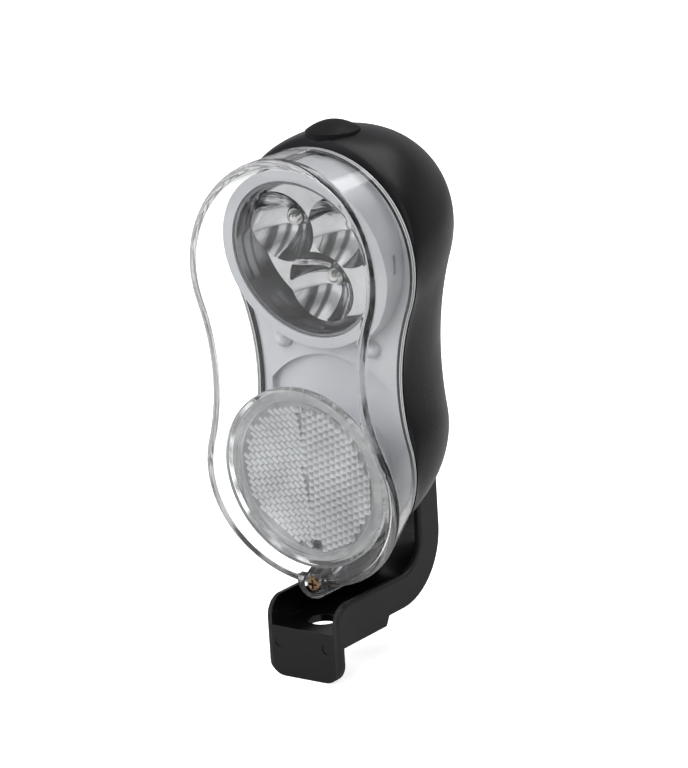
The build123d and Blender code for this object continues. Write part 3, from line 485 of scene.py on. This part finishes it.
def plain_moulded(name, tone, gloss, **extra):
    """Moulded plastic with a fine grain and a slightly uneven tone."""
    s = Shader(name)
    grain = s.noise(3200)
    colour = s.blend(s.noise(160, detail=3.0), tone, times(tone, 0.8))
    rough = s.span(grain, *WIDE, *gloss)
    skin = s.bump(grain, depth_mm=0.008, strength=0.4)
    return s.finish(s.principled(colour, rough, skin, **extra))


def led_epoxy():
    """Clear epoxy domes over their cups, which show what is round them as a mirror does."""
    s = Shader("led_epoxy")
    colour = s.blend(s.noise(260), (0.86, 0.86, 0.85), (0.76, 0.76, 0.73))
    rough = s.span(s.noise(900), *WIDE, 0.04, 0.10)
    skin = s.bump(s.noise(1200), depth_mm=0.006, strength=0.3)
    return s.finish(s.principled(colour, rough, skin, IOR=1.50, Metallic=0.9))


def cell_jacket():
    """Plain blue sleeve of a battery cell."""
    s = Shader("cell_sleeve")
    colour = s.blend(s.noise(200, detail=3.0), (0.08, 0.16, 0.34), (0.05, 0.11, 0.26))
    rough = s.span(s.noise(700, detail=3.0), *PATCHY, 0.12, 0.24)
    skin = s.bump(s.noise(500), depth_mm=0.006, strength=0.3)
    return s.finish(s.principled(colour, rough, skin, Metallic=0.2))


def frosted(name, tone):
    """Matt joint face of the clear cap, in a given tone; the grey tone paints shade on it."""
    s = Shader(name)
    grain = s.noise(2600, detail=3.0)
    colour = s.blend(grain, (tone, tone, tone), (tone * 0.8, tone * 0.8, tone * 0.82))
    rough = s.span(grain, *WIDE, 0.4, 0.6)
    skin = s.bump(grain, depth_mm=0.01, strength=0.5)
    return s.finish(s.principled(colour, rough, skin))


looks = {
    "bracket_plastic": bracket_black(),
    "housing_plastic": moulded_black(
        "housing_black", (0.0045, 0.0045, 0.0053), (0.27, 0.38), grain_mm=0.28, edge_tone=(0.03, 0.03, 0.033)
    ),
    "clear_plastic": clear_plastic(
        "clear_polycarbonate", (0.985, 0.99, 0.99), haze_open=0.0, haze_rim=0.12, dim=0.12
    ),
    "silver_plastic": silver_paint(),
    "white_plastic": plain_moulded("white_moulded", (0.8, 0.8, 0.8), (0.35, 0.5)),
    "chrome": chrome_plate(),
    "led_epoxy": led_epoxy(),
    "circuit_board": plain_moulded("solder_mask_green", (0.03, 0.16, 0.07), (0.3, 0.42), Coat_Weight=0.3),
    "black_rubber": rubber("black_rubber", (0.004, 0.004, 0.0045), grain_mm=0.25),
    "switch_plastic": plain_moulded("switch_black", (0.02, 0.02, 0.021), (0.4, 0.55)),
    "brass_plated": brass_plating(),
    "dark_steel": steel("dark_steel", (0.2, 0.2, 0.21)),
    "spring_steel": steel("spring_steel", (0.62, 0.62, 0.63)),
    "cell_jacket": cell_jacket(),
    "reflector_plastic": clear_plastic(
        "reflector_acrylic", (0.97, 0.975, 0.975), haze_open=0.10, haze_rim=0.32, dim=0.8
    ),
    "frosted_pale": frosted("frosted_pale", FROST_PALE),
    # Painted shade: grey copy of the matt joint face
    "frosted_painted_shade": frosted("frosted_painted_shade", FROST_SHADE),
    "prism_facets": prism_silver(),
}
for entry in frame["record"]["subparts"]:
    node = nodes[entry["node"]]
    node.data.materials.clear()
    node.data.materials.append(looks[entry["material_slot"]])


def mesh_piece(name, verts, faces, look, body, sharp_from=None):
    """Mesh piece from points in millimetres, which rides on a body.

    It is smooth up to the angle sharp_from in degrees, or faceted without one.
    """
    mesh = bpy.data.meshes.new(name)
    mesh.from_pydata([times(point, MM) for point in verts], [], faces)
    mesh.validate()
    mesh.update()
    piece = bpy.data.objects.new(name, mesh)
    bpy.context.scene.collection.objects.link(piece)
    mesh.materials.append(looks[look])
    if sharp_from is not None:
        mesh.shade_smooth()
        mesh.set_sharp_from_angle(angle=math.radians(sharp_from))
    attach(piece, body)
    return piece


def on_disc(x, depth, rise):
    """Place on the leaning reflector disc: across, behind its face, and up its face."""
    y = RETRO_Y + depth * math.cos(RETRO_TILT) - rise * math.sin(RETRO_TILT)
    z = RETRO_Z + depth * math.sin(RETRO_TILT) + rise * math.cos(RETRO_TILT)
    return (x, y - LAMP_FRONT, z + LAMP_Z)


def lathe(name, profile, steps, place, look, body, sharp_from):
    """Body of revolution from (radius, depth) points; place turns (x, depth, rise) into the frame."""
    verts, faces = [], []
    for k in range(steps):
        turn = 2 * math.pi * k / steps
        for radius, depth in profile:
            verts.append(place(radius * math.cos(turn), depth, radius * math.sin(turn)))
    n = len(profile)
    for k in range(steps):
        a, b = k * n, ((k + 1) % steps) * n
        for j in range(n):
            i = (j + 1) % n
            if profile[j][0] == 0 and profile[i][0] == 0:
                continue
            faces.append((a + j, a + i, b + i, b + j))
    piece = mesh_piece(name, verts, faces, look, body, sharp_from)
    bm = bmesh.new()
    bm.from_mesh(piece.data)
    bmesh.ops.remove_doubles(bm, verts=bm.verts, dist=1e-7)
    bmesh.ops.recalc_face_normals(bm, faces=bm.faces)
    bm.to_mesh(piece.data)
    bm.free()
    piece.data.set_sharp_from_angle(angle=math.radians(sharp_from))
    return piece


def arc(cx, cy, radius, start, end, steps):
    """Points on a circle between two angles in degrees."""
    made = []
    for k in range(steps + 1):
        turn = math.radians(start + (end - start) * k / steps)
        made.append((cx + radius * math.cos(turn), cy + radius * math.sin(turn)))
    return made


def turned(s, t, along):
    """Point s along and t across a direction, given in degrees from the X axis."""
    turn = math.radians(along)
    return math.cos(turn) * s - math.sin(turn) * t, math.sin(turn) * s + math.cos(turn) * t


def peanut_points(outline, inset, steps):
    """Points round a peanut outline of two lobes and two hollow waists, from the foot up one side."""
    r_up, z_up, r_low, z_low, r_waist = outline
    r_up, r_low, r_waist = r_up - inset, r_low - inset, r_waist + inset
    reach_up, reach_low = r_up + r_waist, r_low + r_waist
    spacing = z_up - z_low
    rise = (reach_low**2 - reach_up**2 + spacing**2) / (2 * spacing)
    waist_x, waist_z = math.sqrt(reach_low**2 - rise**2), z_low + rise
    low_turn = math.atan2(rise, waist_x)
    up_turn = math.atan2(waist_z - z_up, waist_x)
    side = []
    for k in range(steps):
        turn = -math.pi / 2 + (low_turn + math.pi / 2) * k / steps
        side.append((r_low * math.cos(turn), z_low + r_low * math.sin(turn)))
    for k in range(steps):
        turn = low_turn + (up_turn - low_turn) * k / steps
        side.append((waist_x - r_waist * math.cos(turn), waist_z - r_waist * math.sin(turn)))
    for k in range(steps + 1):
        turn = up_turn + (math.pi / 2 - up_turn) * k / steps
        side.append((r_up * math.cos(turn), z_up + r_up * math.sin(turn)))
    return side + [(-x, z) for x, z in reversed(side[1:-1])]


def make_joint_faces():
    """Matt bands inside the rear end of the clear cap's wall, where it meets the seal; the middle band's grey
    is painted shade.
    """
    for name, outer, inner, look in JOINT_BANDS:
        corners = ((outer, BAND_FAR), (outer, BAND_NEAR), (inner, BAND_NEAR), (inner, BAND_FAR))
        verts, faces = [], []
        for inset, depth in corners:
            loop = peanut_points(SEAM, inset, LOBE_STEPS)
            verts += [(x, SEAM_Y - depth - LAMP_FRONT, z + LAMP_Z) for x, z in loop]
        count = len(loop)
        for j in range(len(corners)):
            a, b = j * count, (j + 1) % len(corners) * count
            for k in range(count):
                faces.append((a + k, a + (k + 1) % count, b + (k + 1) % count, b + k))
        band = mesh_piece(name, verts, faces, look, "lamp", sharp_from=30)


def make_disc_lens():
    """Clear disc: rounded proud rim, a stepped ring inside it and a flat window."""
    r, rim = RETRO_RADIUS, RETRO_RADIUS - RETRO_RIM
    step = rim - STEP_WIDTH
    back = RETRO_THICK - DISC_BACK_ROUND
    profile = [(0, STEP_DEPTH), (step - STEP_ROUND, STEP_DEPTH)]
    profile += arc(step - STEP_ROUND, STEP_DEPTH - STEP_ROUND, STEP_ROUND, 90, 0, 3)
    profile += [(step, STEP_ROUND)]
    profile += arc(step + STEP_ROUND, STEP_ROUND, STEP_ROUND, 180, 270, 3)
    profile += [(rim - RIM_FOOT_ROUND, 0)]
    profile += arc(rim - RIM_FOOT_ROUND, -RIM_FOOT_ROUND, RIM_FOOT_ROUND, 90, 0, 3)
    profile += arc(rim + STEP_ROUND, STEP_ROUND - RETRO_RIM_PROUD, STEP_ROUND, 180, 270, 3)
    profile += arc(r - RIM_ROUND, RIM_ROUND - RETRO_RIM_PROUD, RIM_ROUND, -90, 0, 5)
    profile += [(r, back)]
    profile += arc(r - DISC_BACK_ROUND, back, DISC_BACK_ROUND, 0, 90, 3)
    profile += [(FIELD_RADIUS + WINDOW_FLARE, RETRO_THICK), (FIELD_RADIUS, WINDOW_BACK), (0, WINDOW_BACK)]
    lens = lathe("disc_lens", profile, DISC_STEPS, on_disc, "reflector_plastic", "lamp", sharp_from=32)
    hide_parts("retro_reflector")


def cube_corners(side, cell, along):
    """Cube-corner prisms over one half of the field, in rows that run at an angle in degrees."""
    verts, faces = [], []
    span = int(2 * FIELD_RADIUS / cell)
    for row in range(-span, span + 1):
        for column in range(-span, span + 1):
            x, v = turned((column + 0.5 * (row % 2)) * cell * math.sqrt(3), row * cell * 1.5, along)
            if side * x < CORNER_CLEAR_SHARE * cell or math.hypot(x, v) + cell > FIELD_RADIUS:
                continue
            at = len(verts)
            for k in range(6):
                bend = math.radians(30 + 60 * k)
                dx, dv = turned(cell * math.cos(bend), cell * math.sin(bend), along)
                level = FIELD_FRONT + FIELD_DEEP * (k % 2) / 2
                verts.append((x + dx, level, v + dv))
            verts.append((x, FIELD_FRONT + FIELD_DEEP, v))
            for k in (1, 3, 5):
                faces.append((at + 6, at + k, at + (k + 1) % 6, at + (k + 2) % 6))
    return verts, faces


def hipped_rows(side, length, width, along):
    """Rows of long hipped prisms over one half of the field, each row shifted by half a prism."""
    verts, faces = [], []
    span = int(2 * FIELD_RADIUS / width)
    for row in range(-span, span + 1):
        for column in range(-span, span + 1):
            x, v = turned((column + 0.5 * (row % 2)) * length, row * width, along)
            far = math.hypot(x, v) + ROW_REACH_SHARE * length
            if side * x < ROW_CLEAR_SHARE * length or far > FIELD_RADIUS:
                continue
            at = len(verts)
            for length_share, width_share, deep_share in HIPPED_SHARES:
                dx, dv = turned(length_share * length, width_share * width, along)
                level = FIELD_FRONT + FIELD_DEEP * ROW_DEEP_SHARE * deep_share
                verts.append((x + dx, level, v + dv))
            faces += [tuple(at + corner for corner in face) for face in HIPPED_FACES]
    return verts, faces


def make_prism_field():
    """Sheet of prisms behind the disc's window: slanted rows on one half, cube corners on the other."""
    verts, faces = cube_corners(1, CORNER_CELL, CORNER_ALONG)
    row_verts, row_faces = hipped_rows(-1, ROW_LENGTH, ROW_WIDTH, ROW_ALONG)
    start = len(verts)
    verts += row_verts
    faces += [tuple(start + corner for corner in face) for face in row_faces]
    back = FIELD_FRONT + FIELD_DEEP + FIELD_SEAL
    centre = len(verts)
    verts.append((0, back, 0))
    verts += [(x, back, v) for x, v in arc(0, 0, FIELD_RADIUS, 0, 360, FIELD_STEPS)[:-1]]
    for k in range(FIELD_STEPS):
        faces.append((centre, centre + 1 + k, centre + 1 + (k + 1) % FIELD_STEPS))
    placed = [on_disc(*point) for point in verts]
    sheet = mesh_piece("prism_field", placed, faces, "prism_facets", "lamp")


def make_gate_mark():
    """Small post near the disc's foot, where the mould was filled."""
    def place(x, depth, rise):
        return on_disc(x + GATE_X, depth, rise + GATE_RISE)

    post = lathe("gate_mark", GATE_OUTLINE, GATE_STEPS, place, "switch_plastic", "lamp", sharp_from=40)


def make_screw_thread():
    """Helical thread on the cap screw's shank, seen through the clear ear."""
    centre_z = LAMP_Z + SCREW_Z
    count = int((THREAD_END - THREAD_START) / THREAD_PITCH * THREAD_STEPS)
    section = (
        (THREAD_CORE, -THREAD_FOOT), (THREAD_CREST, -THREAD_TIP),
        (THREAD_CREST, THREAD_TIP), (THREAD_CORE, THREAD_FOOT),
    )
    verts, faces = [], []
    for k in range(count + 1):
        turn = 2 * math.pi * k / THREAD_STEPS
        y = THREAD_START + THREAD_PITCH * k / THREAD_STEPS - LAMP_FRONT
        for radius, offset in section:
            verts.append((radius * math.cos(turn), y + offset, centre_z + radius * math.sin(turn)))
        if k:
            at = len(section) * k
            for j in range(3):
                faces.append((at + j, at + j + 1, at + j - 3, at + j - 4))
    thread = mesh_piece("screw_thread", verts, faces, "brass_plated", "lamp", sharp_from=30)


make_joint_faces()
make_disc_lens()
make_prism_field()
make_gate_mark()
make_screw_thread()

scene = bpy.context.scene


def make_camera():
    """The camera that took the photograph, as solved from its perspective."""
    data = bpy.data.cameras.new("photo_camera")
    camera = bpy.data.objects.new("photo_camera", data)
    scene.collection.objects.link(camera)
    scene.camera = camera
    back = Vector(CAMERA_BACK).normalized()
    turn = math.radians(CAMERA_TURN)
    level = Vector((math.cos(turn), math.sin(turn), 0.0))
    up = back.cross(level).normalized()
    right = up.cross(back).normalized()
    roll = math.radians(CAMERA_ROLL)
    rolled_right = right * math.cos(roll) + up * math.sin(roll)
    rolled_up = up * math.cos(roll) - right * math.sin(roll)
    place = Vector(CAMERA_TARGET) * MM + back * CAMERA_DISTANCE * MM
    basis = Matrix((rolled_right, rolled_up, back)).transposed().to_4x4()
    camera.matrix_world = Matrix.Translation(place) @ basis
    data.sensor_fit = "AUTO"
    data.sensor_width = SENSOR_MM
    data.lens = CAMERA_FOCAL_PX * SENSOR_MM / PHOTO_HEIGHT_PX
    data.clip_start = 0.01
    data.clip_end = 20


def see_through(tree):
    """1 for a ray that has only passed through clear pieces since it left the camera, else 0."""
    path = tree.nodes.new("ShaderNodeLightPath")
    bounces = tree.nodes.new("ShaderNodeMath")
    bounces.operation = "ADD"
    tree.links.new(path.outputs["Diffuse Depth"], bounces.inputs[0])
    tree.links.new(path.outputs["Glossy Depth"], bounces.inputs[1])
    straight = tree.nodes.new("ShaderNodeMath")
    straight.operation = "LESS_THAN"
    tree.links.new(bounces.outputs["Value"], straight.inputs[0])
    straight.inputs[1].default_value = STRAIGHT_BOUNCES
    return straight.outputs["Value"]


def ramp_of(tree, value, low, high, stops):
    """Colours from (place, grey) stops, by a value between low and high."""
    spread = tree.nodes.new("ShaderNodeMapRange")
    spread.inputs["From Min"].default_value = low
    spread.inputs["From Max"].default_value = high
    tree.links.new(value, spread.inputs["Value"])
    made = tree.nodes.new("ShaderNodeValToRGB")
    tree.links.new(spread.outputs["Result"], made.inputs["Fac"])
    ramp = made.color_ramp
    while len(ramp.elements) > 1:
        ramp.elements.remove(ramp.elements[-1])
    ramp.elements[0].position, tone = stops[0]
    ramp.elements[0].color = (tone, tone, tone * PANEL_BLUE, 1)
    for place, tone in stops[1:]:
        ramp.elements.new(place).color = (tone, tone, tone * PANEL_BLUE, 1)
    return made.outputs["Color"]


def make_studio():
    """White backdrop for the camera; pale panels with dark gaps between them for the reflections."""
    world = bpy.data.worlds.new("studio")
    scene.world = world
    world.use_nodes = True
    tree = world.node_tree
    tree.nodes.clear()
    out = tree.nodes.new("ShaderNodeOutputWorld")
    coord = tree.nodes.new("ShaderNodeTexCoord")
    split = tree.nodes.new("ShaderNodeSeparateXYZ")
    tree.links.new(coord.outputs["Generated"], split.inputs["Vector"])
    around = tree.nodes.new("ShaderNodeMath")
    around.operation = "ARCTAN2"
    tree.links.new(split.outputs["Y"], around.inputs[0])
    tree.links.new(split.outputs["X"], around.inputs[1])
    panels = ramp_of(tree, around.outputs["Value"], -math.pi, math.pi, PANELS)
    heights = ramp_of(tree, split.outputs["Z"], -1, 1, HEIGHTS)
    tone = tree.nodes.new("ShaderNodeMix")
    tone.data_type = "RGBA"
    tone.blend_type = "MULTIPLY"
    tone.inputs["Factor"].default_value = 1.0
    colours = [socket for socket in tone.inputs if socket.type == "RGBA"]
    tree.links.new(panels, colours[0])
    tree.links.new(heights, colours[1])
    toned = [socket for socket in tone.outputs if socket.type == "RGBA"][0]
    light = tree.nodes.new("ShaderNodeBackground")
    tree.links.new(toned, light.inputs["Color"])
    light.inputs["Strength"].default_value = 1.0
    seen = tree.nodes.new("ShaderNodeBackground")
    seen.inputs["Color"].default_value = (1, 1, 1, 1)
    seen.inputs["Strength"].default_value = BACKDROP_STRENGTH
    both = tree.nodes.new("ShaderNodeMixShader")
    tree.links.new(see_through(tree), both.inputs["Fac"])
    tree.links.new(light.outputs["Background"], both.inputs[1])
    tree.links.new(seen.outputs["Background"], both.inputs[2])
    tree.links.new(both.outputs["Shader"], out.inputs["Surface"])


def soft_light(name, place, width, height, watts, mirrored):
    """Rectangular soft light that faces the lamp."""
    data = bpy.data.lights.new(name, "AREA")
    data.shape = "RECTANGLE"
    data.size = width
    data.size_y = height
    data.energy = watts
    lamp = bpy.data.objects.new(name, data)
    scene.collection.objects.link(lamp)
    lamp.location = place
    lamp.visible_glossy = mirrored
    lamp.visible_transmission = mirrored
    lamp.rotation_euler = (Vector(LIGHT_AIM) - Vector(place)).to_track_quat("-Z", "Y").to_euler()


def make_floor():
    """Plain pale floor, burnt out to white for the camera except where the lamp shades it."""
    mesh = bpy.data.meshes.new("floor")
    reach, level = FLOOR_REACH, cad_box[0].z - FLOOR_DROP
    corners = [(-reach, -reach, level), (reach, -reach, level), (reach, reach, level), (-reach, reach, level)]
    mesh.from_pydata(corners, [], [(0, 1, 2, 3)])
    floor = bpy.data.objects.new("floor", mesh)
    scene.collection.objects.link(floor)
    s = Shader("pale_floor")
    rough = s.span(s.noise(30), *WIDE, 0.75, 0.85)
    seen = s.principled((0.93, 0.93, 0.93), rough, Emission_Color=(1, 1, 1, 1), Emission_Strength=0.7)
    felt = s.principled((0.45, 0.45, 0.45), rough)
    mesh.materials.append(s.finish(s.mix_shaders(see_through(s.tree), felt, seen)))


make_camera()
make_studio()
for light in LIGHTS:
    soft_light(*light)
make_floor()

scene.view_settings.view_transform = "Standard"
scene.view_settings.look = "None"
